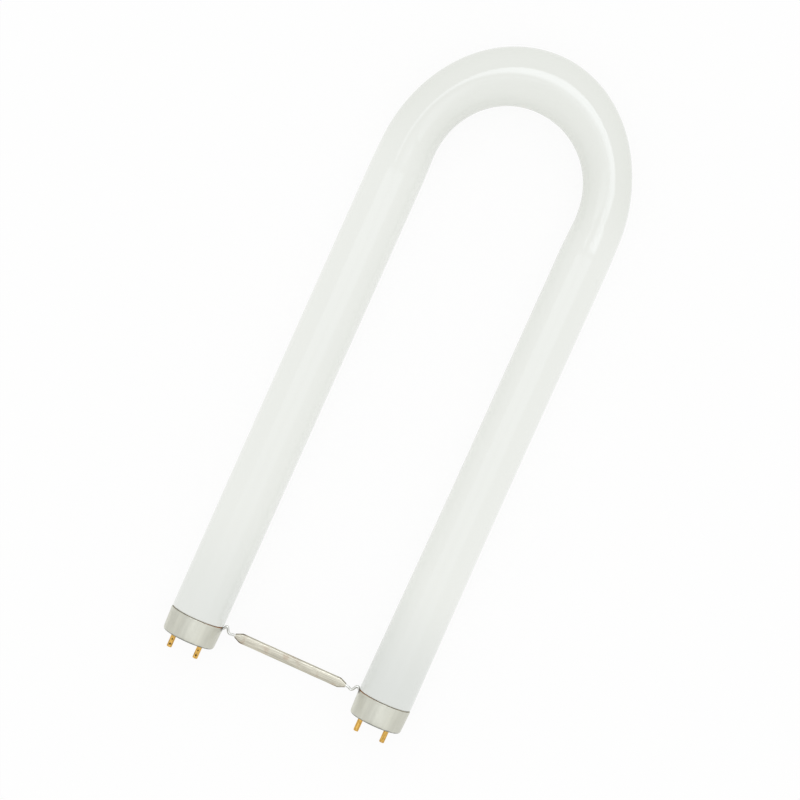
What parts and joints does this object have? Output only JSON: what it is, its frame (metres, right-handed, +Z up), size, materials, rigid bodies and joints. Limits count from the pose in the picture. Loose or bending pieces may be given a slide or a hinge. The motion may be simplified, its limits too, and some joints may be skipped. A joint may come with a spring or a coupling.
{
  "type": "u-shaped fluorescent lamp",
  "caption": "U-bent white fluorescent lamp with drawn aluminium end caps, brass contact pins and a flattened spacer wired between its legs.",
  "frame": {"origin": "under the middle of the lamp's box, on the surface that it lies on", "axes": "+Y from the pins to the bend, +X across the legs, +Z up from that surface"},
  "size_m": [0.1172, 0.313, 0.0273],
  "materials": {
    "coated_glass": "gloss glass, opaque white from the coating on its inner face",
    "cap_aluminium": "drawn bright aluminium, faintly banded",
    "insulator_resin": "moulded brown resin",
    "basing_cement": "baked brown cement",
    "pin_brass": "drawn brass, lightly tarnished",
    "lead_metal": "drawn wire",
    "sleeve_steel": "plated sheet with fine lengthwise drawing lines",
    "wire_steel": "bright plated wire"
  },
  "bodies": {
    "root": {"glass_tube": "coated_glass", "left_end_cap": "cap_aluminium", "right_end_cap": "cap_aluminium", "left_pin_insulator": "insulator_resin", "right_pin_insulator": "insulator_resin", "left_cap_cement": "basing_cement", "right_cap_cement": "basing_cement", "left_outer_pin": "pin_brass", "left_inner_pin": "pin_brass", "right_inner_pin": "pin_brass", "right_outer_pin": "pin_brass", "left_outer_lead": "lead_metal", "left_inner_lead": "lead_metal", "right_inner_lead": "lead_metal", "right_outer_lead": "lead_metal", "spacer_sleeve": "sleeve_steel", "tie_wire": "wire_steel"}
  },
  "joints": []
}
